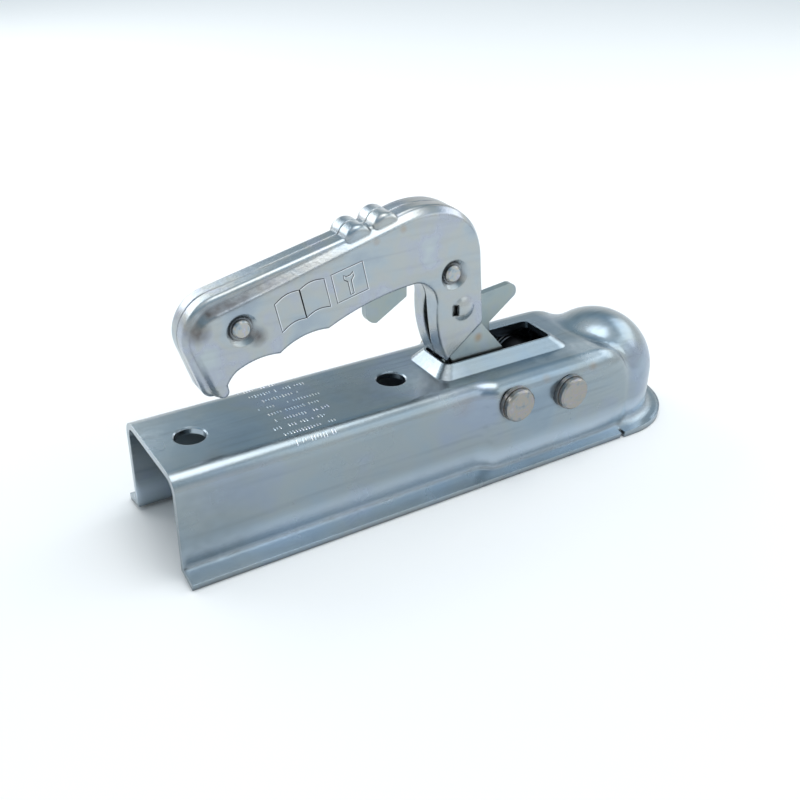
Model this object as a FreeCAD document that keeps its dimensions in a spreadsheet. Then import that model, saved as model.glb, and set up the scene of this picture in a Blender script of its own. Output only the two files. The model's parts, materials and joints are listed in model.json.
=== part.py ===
import FreeCAD, Part
import math
import os

import Sketcher

# Trailer coupling head of pressed steel, for a 50 mm ball.
# Frame: origin at the centre of the ball, +X along the drawbar to the ball's front, +Z up, Y to the side.
# The head lies closed. The body, its cross pins and their bushes are fixed.
# The lift handle turns on the rear pin.

V = FreeCAD.Vector
doc = FreeCAD.newDocument("coupling_head")
sheet = doc.addObject("Spreadsheet::Sheet", "sizes")


class Size:
    """A length or angle with the sheet formula that gives it."""

    def __init__(self, value, formula):
        self.value = value
        self.formula = formula

    def joined(self, other, sign, value):
        return Size(value, f"({self.formula} {sign} {size(other).formula})")

    def __add__(self, other):
        return self.joined(other, "+", self.value + size(other).value)

    def __sub__(self, other):
        return self.joined(other, "-", self.value - size(other).value)

    def __rsub__(self, other):
        return size(other) - self

    def __mul__(self, other):
        return self.joined(other, "*", self.value * size(other).value)

    def __truediv__(self, other):
        return self.joined(other, "/", self.value / size(other).value)

    def __neg__(self):
        return Size(-self.value, f"(0 - {self.formula})")


def size(thing):
    """Any number as a Size."""
    return thing if isinstance(thing, Size) else Size(float(thing), str(thing))


rows = []


def dim(alias, value, note):
    """One driving dimension: a cell with a plain number, its alias and a note."""
    rows.append(alias)
    line = len(rows)
    sheet.set(f"A{line}", alias)
    sheet.set(f"B{line}", str(value))
    sheet.setAlias(f"B{line}", alias)
    sheet.set(f"C{line}", note)
    return Size(float(value), f"sizes.{alias}")


def sine(angle):
    return Size(math.sin(math.radians(angle.value)), f"sin({angle.formula} * 1 deg)")


def cosine(angle):
    return Size(math.cos(math.radians(angle.value)), f"cos({angle.formula} * 1 deg)")


def arc_tangent(rise, run):
    """The angle in degrees of a slope."""
    slope = math.degrees(math.atan2(rise.value, run.value))
    return Size(slope, f"(atan({rise.formula} / {run.formula}) / 1 deg)")


# Driving dimensions, body
sheet_t = dim("sheet_t", 3.0, "sheet of the pressed body")
ball_r = dim("ball_r", 25.0, "radius of the towing ball")
ball_gap = dim("ball_gap", 1.3, "room between ball and dome")
tube_w = dim("tube_w", 50.0, "width of the drawbar tube")
rear_reach = dim("rear_reach", 233.6, "ball centre to the rear end")
roof_z = dim("roof_z", 24.0, "top face above the ball centre")
base_drop = dim("base_drop", 22.8, "lower edge below the ball centre")
bend_r = dim("bend_r", 8.0, "outer radius of the long top bends")
bulge = dim("bulge", 3.5, "step of each side wall over the mechanism")
bulge_rear_x = dim("bulge_rear_x", 93.0, "rear end of the wall step, behind the ball")
bulge_front_x = dim("bulge_front_x", 81.0, "front end of the wall step, behind the ball")
taper_x = dim("taper_x", 30.0, "where the walls start to close on the dome")
nose_x = dim("nose_x", 2.0, "front face of the channel under the dome")
nose_r = dim("nose_r", 24.0, "radius of the shoulders beside the dome")
crease_r = dim("crease_r", 11.0, "hollow radius between dome and shoulders")
lip_out = dim("lip_out", 8.8, "reach of the flared side lips")
lip_t = dim("lip_t", 3.0, "thickness at the lip")
lip_slope = dim("lip_slope", 12.7, "fall of the lips in degrees")
notch_x = dim("notch_x", 9.8, "rear side of the relief notch in the lip, behind the ball")
notch_w = dim("notch_w", 2.2, "width of the relief notch")
notch_depth = dim("notch_depth", 3.0, "depth of the relief notch")
rim_r = dim("rim_r", 36.8, "outer radius of the front flange")
rim_fillet = dim("rim_fillet", 3.5, "hollow radius above the front flange")
bolt_r = dim("bolt_r", 6.5, "radius of the drawbar bolt holes")
bolt_x = dim("bolt_x", 216.0, "rear bolt hole, behind the ball")
bolt_pitch = dim("bolt_pitch", 95.0, "distance between the bolt holes")
bolt_bevel = dim("bolt_bevel", 0.6, "bevel of the bolt holes")

# Driving dimensions, raised slot
slot_rear_x = dim("slot_rear_x", 97.6, "rear end of the slot, behind the ball")
slot_front_x = dim("slot_front_x", 38.0, "front end of the slot, behind the ball")
slot_half = dim("slot_half", 9.75, "half width of the slot")
slot_corner = dim("slot_corner", 3.0, "corner radius of the slot")
collar_rise = dim("collar_rise", 5.2, "height of the raised rim of the slot")
collar_edge = dim("collar_edge", 0.9, "width of the rim's top edge")
collar_side = dim("collar_side", 4.6, "run of the rim's slope at the sides")
collar_front = dim("collar_front", 7.5, "run of the rim's slope at the front")
collar_rear = dim("collar_rear", 5.0, "run of the rim's slope at the rear")
collar_share = dim("collar_share", 0.45, "inset of the rim's hollow side, as a share of the sheet")

# Driving dimensions, cross pins
lever_pin_x = dim("lever_pin_x", 74.6, "rear pin, behind the ball")
lever_pin_z = dim("lever_pin_z", 14.0, "rear pin above the ball centre")
jaw_pin_x = dim("jaw_pin_x", 43.1, "front pin, behind the ball")
jaw_pin_z = dim("jaw_pin_z", 11.2, "front pin above the ball centre")
pin_r = dim("pin_r", 5.0, "radius of the cross pins")
pin_fit = dim("pin_fit", 0.05, "radial clearance on the pins")
head_r = dim("head_r", 7.8, "radius of the pin heads")
head_t = dim("head_t", 3.1, "thickness of the pin heads")
head_bevel = dim("head_bevel", 0.8, "bevel of the pin heads")
washer_r = dim("washer_r", 8.3, "radius of the washers under the heads")
washer_t = dim("washer_t", 1.9, "thickness of those washers")
bush_t = dim("bush_t", 1.6, "wall of the spacer bushes")
bush_short = dim("bush_short", 0.75, "how far into the wall's bend a lever bush stays clear, as a share")
side_gap = dim("side_gap", 0.3, "gap between pieces side by side on a pin")

# Driving dimensions, handle
shell_t = dim("shell_t", 1.6, "sheet of the handle halves")
spine_half = dim("spine_half", 7.0, "half width of the handle at its spine")
panel_half = dim("panel_half", 10.0, "half width over the side panels")
grip_x = dim("grip_x", 201.5, "front side of the grip's lower end, behind the ball")
grip_z = dim("grip_z", 47.5, "height of that point")
tip_front_x = dim("tip_front_x", 203.0, "front corner of the lower end before rounding, behind the ball")
tip_rear_x = dim("tip_rear_x", 209.9, "rear corner of the lower end before rounding, behind the ball")
tip_z = dim("tip_z", 42.2, "height of both corners")
tip_r = dim("tip_r", 4.4, "radius of both corners")
back_x = dim("back_x", 221.9, "rear corner of the grip before rounding, behind the ball")
back_z = dim("back_z", 80.0, "height of that corner")
back_r = dim("back_r", 16.8, "radius of that corner")
crown_x = dim("crown_x", 112.2, "corner between spine and crown before rounding, behind the ball")
crown_z = dim("crown_z", 104.7, "height of that corner")
crown_r = dim("crown_r", 38.0, "radius of that corner")
brow_x = dim("brow_x", 82.3, "corner between crown and neck before rounding, behind the ball")
brow_z = dim("brow_z", 100.9, "height of that corner")
brow_r = dim("brow_r", 27.0, "radius of that corner")
neck_x = dim("neck_x", 77.8, "lower front corner of the neck, behind the ball")
neck_z = dim("neck_z", 46.6, "height of that corner")
neck_r = dim("neck_r", 3.0, "radius of that corner")
heel_x = dim("heel_x", 97.6, "lower rear corner of the neck, behind the ball")
heel_z = dim("heel_z", 30.9, "height of that corner")
nape_x = dim("nape_x", 103.6, "rear side of the neck, behind the ball")
nape_z = dim("nape_z", 59.8, "where the neck's rear side ends")
nape_r = dim("nape_r", 60.0, "radius of the neck's rear side")
arch_x = dim("arch_x", 114.6, "front end of the underside, behind the ball")
arch_z = dim("arch_z", 71.8, "height of the underside there")
arch_r = dim("arch_r", 12.6, "radius between neck and underside")
cusp_x = dim("cusp_x", 156.5, "first finger cusp, behind the ball")
cusp_z = dim("cusp_z", 61.2, "height of that cusp")
cusp_step = dim("cusp_step", 22.0, "distance between the finger cusps")
cusp_fall = dim("cusp_fall", 5.7, "fall from cusp to cusp")
groove_r = dim("groove_r", 30.0, "radius of the finger grooves")
palm_r = dim("palm_r", 110.0, "radius of the underside in front of the cusps")
hook_x = dim("hook_x", 197.5, "where the grip's lower end starts, behind the ball")
hook_z = dim("hook_z", 52.3, "height of that point")
hook_r = dim("hook_r", 14.0, "hollow radius at the grip's lower end")
border = dim("border", 3.2, "border of the side panels at the grip")
border_run = dim("border_run", 2.4, "run of the panels' slope at the grip")
crown_border = dim("crown_border", 0.3, "border of the side panels at the crown")
crown_run = dim("crown_run", 2.4, "run of the panels' slope at the crown")
tip_share = dim("tip_share", 0.5, "share of the grip's border and slope at its lower end")
brow_share = dim("brow_share", 0.75, "share of the crown's border and slope at the top of the neck")
neck_share = dim("neck_share", 0.5, "share of the crown's border and slope at the foot of the neck")
spine_round = dim("spine_round", 2.2, "radius of the spine's outer edges")
seam_round = dim("seam_round", 0.5, "radius of the edges at the seam between the halves")
panel_round = dim("panel_round", 1.4, "radius of the panels' outer edges")
ridge_count = dim("ridge_count", 2, "number of ridges across the spine")
ridge_x = dim("ridge_x", 140.5, "middle of the first ridge, behind the ball")
ridge_step = dim("ridge_step", 12.7, "distance between the ridges")
ridge_r = dim("ridge_r", 6.5, "radius of the ridges")
ridge_rise = dim("ridge_rise", 3.2, "rise of the ridges above the spine")
ridge_out = dim("ridge_out", 1.0, "reach of the ridges' rounded ends past the spine")
ridge_round = dim("ridge_round", 2.4, "radius of those ends")
neck_gap = dim("neck_gap", 1.8, "half width of the gap between the halves at the back of the neck")
neck_gap_low = dim("neck_gap_low", 35.0, "lower end of that gap")
neck_gap_high = dim("neck_gap_high", 62.0, "upper end of that gap")

# Driving dimensions, rivets and dimples of the handle
grip_rivet_x = dim("grip_rivet_x", 194.1, "grip rivet, behind the ball")
grip_rivet_z = dim("grip_rivet_z", 69.7, "height of the grip rivet")
neck_rivet_x = dim("neck_rivet_x", 95.6, "neck rivet, behind the ball")
neck_rivet_z = dim("neck_rivet_z", 72.2, "height of the neck rivet")
bump_x = dim("bump_x", 90.1, "locating bump, behind the ball")
bump_z = dim("bump_z", 55.2, "height of the locating bump")
rivet_r = dim("rivet_r", 3.0, "radius of the rivet shanks")
rivet_head_r = dim("rivet_head_r", 3.9, "radius of the rivet heads")
rivet_head_t = dim("rivet_head_t", 1.7, "height of the rivet heads")
bump_r = dim("bump_r", 5.6, "radius of the locating bump at the panel")
bump_rise = dim("bump_rise", 1.8, "height of the locating bump")
bump_window = dim("bump_window", 2.6, "width of the opening in the rear side of that bump")
dimple_r = dim("dimple_r", 6.9, "radius of a dimple at the panel")
dimple_floor_r = dim("dimple_floor_r", 4.6, "radius of a dimple's floor")
dimple_depth = dim("dimple_depth", 1.8, "depth of a dimple")
spacer_r = dim("spacer_r", 5.0, "radius of the spacer tubes on the rivets")

# Driving dimensions, lever plates
plate_t = dim("plate_t", 3.0, "thickness of the lever plates")
plate_hub_r = dim("plate_hub_r", 12.0, "radius of the plates round the rear pin")
plate_head_r = dim("plate_head_r", 8.2, "radius of the plates round the neck rivet")
plate_hole_r = dim("plate_hole_r", 6.6, "hole of the plates round a dimple")
thrust_dx = dim("thrust_dx", 14.0, "thrust pin in front of the rear pin")
thrust_dz = dim("thrust_dz", 10.0, "thrust pin below the rear pin")
thrust_r = dim("thrust_r", 5.0, "radius of the thrust pin")
thrust_rim = dim("thrust_rim", 3.0, "metal of the plates round the thrust pin")
plate_brow_x = dim("plate_brow_x", 78.7, "front edge of the plates at the neck's foot, behind the ball")
plate_brow_z = dim("plate_brow_z", 44.9, "height of that point")
plate_step_x = dim("plate_step_x", 83.5, "front edge of the plates inside the neck, behind the ball")
plate_step_z = dim("plate_step_z", 41.0, "height of that point")
plate_edge_x = dim("plate_edge_x", 66.2, "front corner of the plates above the slot, behind the ball")
plate_edge_z = dim("plate_edge_z", 30.2, "height of that corner")
plate_nape_x = dim("plate_nape_x", 101.0, "rear edge of the plates in the neck, behind the ball")
plate_nape_z = dim("plate_nape_z", 49.0, "height of that point")
plate_heel_x = dim("plate_heel_x", 95.5, "rear lower corner of the plates, behind the ball")
plate_heel_z = dim("plate_heel_z", 32.2, "height of that corner")
plate_head_front = dim("plate_head_front", -10, "start of the plates' head round the neck rivet, degrees")
plate_head_top = dim("plate_head_top", 110, "top of that head, degrees")
plate_head_rear = dim("plate_head_rear", 200, "end of that head, degrees")
plate_hub_rear = dim("plate_hub_rear", 160, "start of the plates' hub round the rear pin, degrees")
plate_hub_low = dim("plate_hub_low", 282, "end of that hub, degrees")
plate_lobe_low = dim("plate_lobe_low", 255, "start of the plates' lobe round the thrust pin, degrees")
plate_lobe_front = dim("plate_lobe_front", 22, "end of that lobe, degrees")

# Driving dimensions, ball jaw
jaw_half = dim("jaw_half", 13.0, "half width of the jaw")
jaw_heel_half = dim("jaw_heel_half", 4.6, "half width of the jaw's heel")
jaw_hub_r = dim("jaw_hub_r", 9.0, "radius of the jaw's hub")
jaw_seat_gap = dim("jaw_seat_gap", 0.6, "room between jaw and ball")
jaw_tip_x = dim("jaw_tip_x", 19.6, "tip of the jaw, behind the ball centre")
jaw_tip_z = dim("jaw_tip_z", 17.0, "tip of the jaw below the ball centre")
touch_gap = dim("touch_gap", 0.4, "gap where one moving piece pushes another")
jaw_lip = dim("jaw_lip", 2.6, "thickness of the jaw's tip")
jaw_back_x = dim("jaw_back_x", 48.0, "back of the jaw, behind the ball")
jaw_back_drop = dim("jaw_back_drop", 4.0, "foot of the jaw's straight back below the ball centre")
jaw_belly_r = dim("jaw_belly_r", 34.0, "radius of the jaw's underside")
jaw_seat_x = dim("jaw_seat_x", 20.0, "inner point of the jaw's seat before the ball's shape is cut")
jaw_seat_top = dim("jaw_seat_top", 4.0, "height of that point")
jaw_brow_x = dim("jaw_brow_x", 30.5, "upper front edge of the jaw, behind the ball")
jaw_brow_z = dim("jaw_brow_z", 15.5, "height of that edge")

# Driving dimensions, trigger and indicator
trigger_t = dim("trigger_t", 3.5, "thickness of the trigger")
blade_gap = dim("blade_gap", 0.4, "gap from the middle plane to trigger and indicator")
trigger_hub_r = dim("trigger_hub_r", 8.0, "radius of the trigger's hub")
trigger_neck_angle = dim("trigger_neck_angle", -33, "where the trigger's nose leaves its hub, degrees")
trigger_arm_angle = dim("trigger_arm_angle", 100, "where the trigger's arm leaves its hub, degrees")
trigger_rear_angle = dim("trigger_rear_angle", 163, "where the arm's underside meets the hub, degrees")
trigger_foot_angle = dim("trigger_foot_angle", 235, "where the nose's rear side leaves the hub, degrees")
trigger_fit = dim("trigger_fit", 0.06, "radial clearance of the trigger on its spacer")
fin_front_x = dim("fin_front_x", 116.0, "front side of the finger fin, behind the ball")
fin_rear_x = dim("fin_rear_x", 136.0, "rear side of the finger fin, behind the ball")
fin_tip_r = dim("fin_tip_r", 5.3, "rear radius of the fin's tip")
fin_tip_z = dim("fin_tip_z", 55.5, "height of that point")
fin_side_z = dim("fin_side_z", 64.4, "height where the fin's front side starts")
arm_top_z = dim("arm_top_z", 84.0, "upper edge of the trigger's arm inside the handle")
arm_w = dim("arm_w", 8.5, "width of the trigger's arm inside the handle")
nose_reach = dim("nose_reach", 17.0, "catch nose from the rear pin")
nose_angle = dim("nose_angle", 30.0, "catch nose above the rear of the pin, degrees")
nose_pin_r = dim("nose_pin_r", 2.4, "radius of the catch nose")
indicator_t = dim("indicator_t", 3.5, "thickness of the indicator")
indicator_hub_r = dim("indicator_hub_r", 11.3, "radius of the indicator's hub")
indicator_front_angle = dim("indicator_front_angle", 40, "where the indicator's tab leaves its hub, degrees")
indicator_top_angle = dim("indicator_top_angle", 104, "where the tab's rear side meets the hub, degrees")
tooth_r = dim("tooth_r", 14.0, "radius to the top of the indicator's catch tooth")
tooth_front_angle = dim("tooth_front_angle", 118, "front side of that tooth, degrees")
tooth_rear_angle = dim("tooth_rear_angle", 135, "rear side of that tooth, degrees")
fin_round = dim("fin_round", 5.0, "upper rear radius of the trigger")
slot_room = dim("slot_room", 0.7, "gap at the sides of trigger and indicator in the handle")
slot_rear_room = dim("slot_rear_room", 6.0, "room behind the fin in the handle's underside")
slot_front_room = dim("slot_front_room", 3.0, "room in front of the fin in the handle's underside")
indicator_slot_z = dim("indicator_slot_z", 61.0, "top of the opening for the indicator in the neck")
tab_root_x = dim("tab_root_x", 67.5, "lower corner of the indicator's tab, behind the ball")
tab_root_z = dim("tab_root_z", 39.1, "height of that corner")
tab_low_x = dim("tab_low_x", 53.6, "lower side of the tab's round end, behind the ball")
tab_low_z = dim("tab_low_z", 49.6, "height of that point")
tab_high_x = dim("tab_high_x", 57.2, "upper side of the tab's round end, behind the ball")
tab_high_z = dim("tab_high_z", 56.0, "height of that point")
tab_r = dim("tab_r", 4.2, "radius of the tab's round end")
tab_rear_x = dim("tab_rear_x", 74.0, "rear corner of the tab, behind the ball")
tab_rear_z = dim("tab_rear_z", 54.0, "height of that corner")

# Driving dimensions, closing spring
wire_r = dim("wire_r", 0.9, "radius of the wire")
coil_gap = dim("coil_gap", 0.5, "room between the spring and its bush")
coil_pitch = dim("coil_pitch", 2.3, "pitch of the turns")
coil_turns = dim("coil_turns", 4, "whole turns of the spring")
spring_leg = dim("spring_leg", 8.0, "length of the spring's leg beside the jaw")

doc.recompute()

# Values worked out from the driving dimensions
inner_half = tube_w / 2
outer_half = inner_half + sheet_t
dome_inner_r = ball_r + ball_gap
dome_r = dome_inner_r + sheet_t
base_z = -base_drop
front_half = outer_half + bulge
SIDES = {"left": 1, "right": -1}


# General helpers
def bind(item, **formulas):
    """Tie properties to the sheet. A dot in a property's name is written as a double underline."""
    for key, amount in formulas.items():
        item.setExpression(key.replace("__", "."), size(amount).formula)


def add(kind, name):
    return doc.addObject(kind, name)


def place(item, at_x=0, at_y=0, at_z=0, turn=None):
    if turn:
        item.Placement = FreeCAD.Placement(V(0, 0, 0), turn)
    bind(item, Placement__Base__x=at_x, Placement__Base__y=at_y, Placement__Base__z=at_z)
    return item


ALONG_Y = FreeCAD.Rotation(V(1, 0, 0), -90)
AGAINST_Y = FreeCAD.Rotation(V(1, 0, 0), 90)
SIDE_VIEW = FreeCAD.Rotation(V(1, 0, 0), 90)
END_VIEW = FreeCAD.Rotation(V(1, 1, 1), 120)


def cylinder(name, radius, length, at_x=0, at_y=0, at_z=0, turn=None):
    item = add("Part::Cylinder", name)
    bind(item, Radius=radius, Height=length)
    return place(item, at_x, at_y, at_z, turn)


def cone(name, radius, top_radius, length, at_x=0, at_y=0, at_z=0, turn=None):
    item = add("Part::Cone", name)
    bind(item, Radius1=radius, Radius2=top_radius, Height=length)
    return place(item, at_x, at_y, at_z, turn)


def box(name, low, high):
    """A box between two corners."""
    item = add("Part::Box", name)
    bind(item, Length=size(high[0]) - low[0], Width=size(high[1]) - low[1], Height=size(high[2]) - low[2])
    return place(item, *low)


def fuse(name, *pieces):
    item = add("Part::MultiFuse", name)
    item.Shapes = list(pieces)
    item.Refine = True
    return item


def cut(name, base, *tools):
    item = add("Part::Cut", name)
    item.Base = base
    item.Tool = tools[0] if len(tools) == 1 else fuse(name + "_tools", *tools)
    item.Refine = True
    return item


def common(name, *pieces):
    item = add("Part::MultiCommon", name)
    item.Shapes = list(pieces)
    return item


def ring(name, radius, hole_radius, length, at_x=0, at_y=0, at_z=0, turn=None):
    outer = cylinder(name + "_outer", radius, length, at_x, at_y, at_z, turn)
    hole = cylinder(name + "_hole", hole_radius, length, at_x, at_y, at_z, turn)
    return cut(name, outer, hole)


def rounded(name, base, radius, wanted, chamfer=False):
    """Fillet, or bevel, the edges of base that pass a test."""
    doc.recompute()
    item = add("Part::Chamfer" if chamfer else "Part::Fillet", name)
    item.Base = base
    picked = [n for n, edge in enumerate(base.Shape.Edges, 1) if wanted(edge)]
    if not picked:
        raise SystemExit(f"{name}: no edge found to round")
    item.Edges = [(n, size(radius).value, size(radius).value) for n in picked]
    return item


def root(amount):
    return Size(math.sqrt(amount.value), f"sqrt({amount.formula})")


def magnitude(amount):
    return Size(abs(amount.value), f"abs({amount.formula})")


def worked_out(alias, amount):
    """A cell of the sheet that holds a value worked out from the driving dimensions."""
    rows.append(alias)
    line = len(rows)
    sheet.set(f"A{line}", alias)
    sheet.set(f"B{line}", "=" + amount.formula.replace("sizes.", ""))
    sheet.setAlias(f"B{line}", alias)
    return Size(amount.value, f"sizes.{alias}")


def near(a, b, room=0.02):
    return abs(a - size(b).value) < room


def line(to_x, to_y):
    return (size(to_x), size(to_y), None)


def arc(to_x, to_y, radius, turn):
    """An arc to a point. turn is 1 where it bends to the left on its way, -1 to the right."""
    return (size(to_x), size(to_y), (size(radius), turn))


def draw(sketch, start, moves):
    """Draw a closed outline of lines and arcs. Each corner and radius is tied to the sheet."""
    here = (size(start[0]), size(start[1]))
    for to_x, to_y, bend in moves:
        a = V(here[0].value, here[1].value, 0)
        b = V(to_x.value, to_y.value, 0)
        if bend is None:
            index = sketch.addGeometry(Part.LineSegment(a, b))
            first = 1
        else:
            radius, turn = bend
            index = sketch.addGeometry(arc_between(a, b, radius.value, turn))
            first = 1 if turn > 0 else 2
            tie(sketch, Sketcher.Constraint("Radius", index, radius.value), radius)
        tie(sketch, Sketcher.Constraint("DistanceX", -1, 1, index, first, a.x), here[0])
        tie(sketch, Sketcher.Constraint("DistanceY", -1, 1, index, first, a.y), here[1])
        if index:
            sketch.addConstraint(Sketcher.Constraint("Coincident", index - 1, last, index, first))
        last = 3 - first
        opening = opening if index else first
        here = (to_x, to_y)
    sketch.addConstraint(Sketcher.Constraint("Coincident", index, last, 0, opening))
    return sketch


def tie(sketch, constraint, amount):
    """Add a constraint whose value comes from the sheet."""
    index = sketch.addConstraint(constraint)
    if amount.formula.startswith(("(", "sizes")):
        sketch.setExpression(f"Constraints[{index}]", amount.formula)


def arc_between(a, b, radius, turn):
    chord = b - a
    rise = math.sqrt(max(radius * radius - chord.Length ** 2 / 4, 0.0))
    normal = V(-chord.y, chord.x, 0).normalize()
    centre = (a + b) * 0.5 + normal * (rise * turn)
    low, high = (a, b) if turn > 0 else (b, a)
    start = math.atan2(low.y - centre.y, low.x - centre.x)
    end = math.atan2(high.y - centre.y, high.x - centre.x)
    if end <= start:
        end += 2 * math.pi
    return Part.ArcOfCircle(Part.Circle(centre, V(0, 0, 1), radius), start, end)


def origin_plane(body, role):
    return [f for f in body.Origin.OriginFeatures if f.Role == role][0]


def body_sketch(body, role, name, offset=0):
    """A sketch on one of the body's own planes, moved along that plane's normal."""
    sketch = body.newObject("Sketcher::SketchObject", name)
    sketch.AttachmentSupport = [(origin_plane(body, role), "")]
    sketch.MapMode = "FlatFace"
    bind(sketch, AttachmentOffset__Base__z=offset)
    return sketch


def pad(body, sketch, length, name):
    feature = body.newObject("PartDesign::Pad", name)
    feature.Profile = sketch
    bind(feature, Length=length)
    return feature


def circle(sketch, centre_x, centre_y, radius):
    at = V(size(centre_x).value, size(centre_y).value, 0)
    index = sketch.addGeometry(Part.Circle(at, V(0, 0, 1), size(radius).value))
    tie(sketch, Sketcher.Constraint("Radius", index, size(radius).value), size(radius))
    tie(sketch, Sketcher.Constraint("DistanceX", -1, 1, index, 3, at.x), size(centre_x))
    tie(sketch, Sketcher.Constraint("DistanceY", -1, 1, index, 3, at.y), size(centre_y))


def side_plate(name, start, moves, side_y, thickness, holes=()):
    """A flat plate with holes, its outline in X and Z, from side_y towards -Y."""
    body = add("PartDesign::Body", name)
    outline = draw(body_sketch(body, "XZ_Plane", name + "_outline", -size(side_y)), start, moves)
    pad(body, outline, thickness, name + "_plate")
    if holes:
        bores = body_sketch(body, "XZ_Plane", name + "_bores", -size(side_y))
        for at_x, at_z, radius in holes:
            circle(bores, at_x, at_z, radius)
        pocket = body.newObject("PartDesign::Pocket", name + "_pocket")
        pocket.Profile = bores
        pocket.Reversed = True
        bind(pocket, Length=thickness)
    return body


def side_sketch(name, start, moves, side_y=0):
    """A free sketch seen from the side, its outline in X and Z."""
    sketch = add("Sketcher::SketchObject", name)
    place(sketch, 0, side_y, 0, SIDE_VIEW)
    return draw(sketch, start, moves)


def extruded(name, profile, direction, length):
    item = add("Part::Extrusion", name)
    item.Base = profile
    item.DirMode = "Custom"
    item.Dir = direction
    item.Solid = True
    bind(item, LengthFwd=length)
    return item


# Pressed body
def channel_form(name, inset, top_z, low_z, rear_x):
    """The long channel as a solid block: straight, wider over the mechanism, rounded off under the dome."""
    half = outer_half - inset
    wide = front_half - inset
    step = bulge_rear_x - bulge_front_x
    ramp_r = (step * step + bulge * bulge) / (bulge * 4)
    ramp_mid_x = -(bulge_rear_x + bulge_front_x) / 2
    ramp_mid_y = (half + wide) / 2
    end_half = dome_r - inset
    run = taper_x + nose_x - inset
    close = front_half - dome_r
    close_r = (run * run + close * close) / (magnitude(close) * 2)
    close_turn = 1 if close.value > 0 else -1
    nose = nose_x - inset
    body = add("PartDesign::Body", name)
    plan = draw(body_sketch(body, "XY_Plane", name + "_plan", low_z), (rear_x, half), [
        line(rear_x, -half),
        line(-bulge_rear_x, -half),
        arc(ramp_mid_x, -ramp_mid_y, ramp_r, -1),
        arc(-bulge_front_x, -wide, ramp_r, 1),
        line(-taper_x, -wide),
        arc(nose, -end_half, close_r, close_turn),
        line(nose, end_half),
        arc(-taper_x, wide, close_r, close_turn),
        line(-bulge_front_x, wide),
        arc(ramp_mid_x, ramp_mid_y, ramp_r, 1),
        arc(-bulge_rear_x, half, ramp_r, -1),
        line(rear_x, half),
    ])
    pad(body, plan, size(top_z) - low_z, name + "_block")
    nose_turn = nose_r - inset
    profile = side_sketch(name + "_profile", (rear_x, low_z), [
        line(nose, low_z),
        line(nose, size(top_z) - nose_turn),
        arc(nose - nose_turn, top_z, nose_turn, 1),
        line(rear_x, top_z),
        line(rear_x, low_z),
    ], front_half)
    band = extruded(name + "_band", profile, V(0, -1, 0), front_half * 2)
    block = common(name + "_rough", body, band)
    return rounded(name, block, bend_r - inset, lambda e: long_top(e, half, top_z, nose - nose_turn))


def long_top(edge, half, top_z, shoulder_x):
    """The long upper edges of the channel, and their runs down the shoulders."""
    middle = edge.valueAt((edge.FirstParameter + edge.LastParameter) / 2)
    lengthwise = edge.BoundBox.XLength > sheet_t.value / 2
    on_roof = near(edge.BoundBox.ZMin, top_z)
    on_shoulder = middle.x > shoulder_x.value and middle.z > 0 and edge.BoundBox.ZLength > sheet_t.value
    return lengthwise and abs(middle.y) > half.value - sheet_t.value and (on_roof or on_shoulder)


def dome_form(name, radius, low_z):
    """The upper half of a ball over a short skirt."""
    dome = add("Part::Sphere", name + "_dome")
    dome.Angle1 = 0
    bind(dome, Radius=radius)
    skirt = cylinder(name + "_skirt", radius, -size(low_z), 0, 0, low_z)
    return fuse(name, dome, skirt)


def on_dome(edge, radius, low_z):
    """True for an edge that lies on the ball dome above a height and leads somewhere."""
    span = edge.LastParameter - edge.FirstParameter
    points = [edge.valueAt(edge.FirstParameter + span * part) for part in (0.0, 0.25, 0.5, 0.75, 1.0)]
    on_ball = all(near(p.Length, radius, 0.05) and p.z > low_z for p in points)
    return on_ball and edge.BoundBox.YLength > sheet_t.value / 2


def head_form(name, inset, crease, top_z, low_z, rear_x):
    """Channel and dome as one solid block, with the hollow crease between them."""
    channel = channel_form(name + "_channel", size(inset), size(top_z), size(low_z), size(rear_x))
    dome = dome_form(name + "_ball", dome_r - inset, low_z if inset else base_z)
    joined = fuse(name + "_joined", channel, dome)
    return rounded(name, joined, crease, lambda e: on_dome(e, dome_r - inset, 0))


def round_rectangle(sketch, low_x, high_x, half_y, radius):
    low, high, half, turn = size(low_x), size(high_x), size(half_y), size(radius)
    return draw(sketch, (low + turn, -half), [
        line(high - turn, -half),
        arc(high, turn - half, turn, 1),
        line(high, half - turn),
        arc(high - turn, half, turn, 1),
        line(low + turn, half),
        arc(low, half - turn, turn, 1),
        line(low, turn - half),
        arc(low + turn, -half, turn, 1),
    ])


def collar_form(name, inset, drop):
    """The raised rim of the slot as a block that narrows upwards."""
    edge = collar_edge - inset
    body = add("PartDesign::Body", name)
    foot = round_rectangle(
        body_sketch(body, "XY_Plane", name + "_foot", roof_z - drop),
        -slot_rear_x - edge - collar_rear,
        -slot_front_x + edge + collar_front,
        slot_half + edge + collar_side,
        slot_corner + edge + collar_side / 2,
    )
    top = round_rectangle(
        body_sketch(body, "XY_Plane", name + "_top", roof_z + collar_rise - drop),
        -slot_rear_x - edge,
        -slot_front_x + edge,
        slot_half + edge,
        slot_corner + edge,
    )
    loft = body.newObject("PartDesign::AdditiveLoft", name + "_loft")
    loft.Profile = foot
    loft.Sections = [top]
    loft.Ruled = True
    return body


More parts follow.
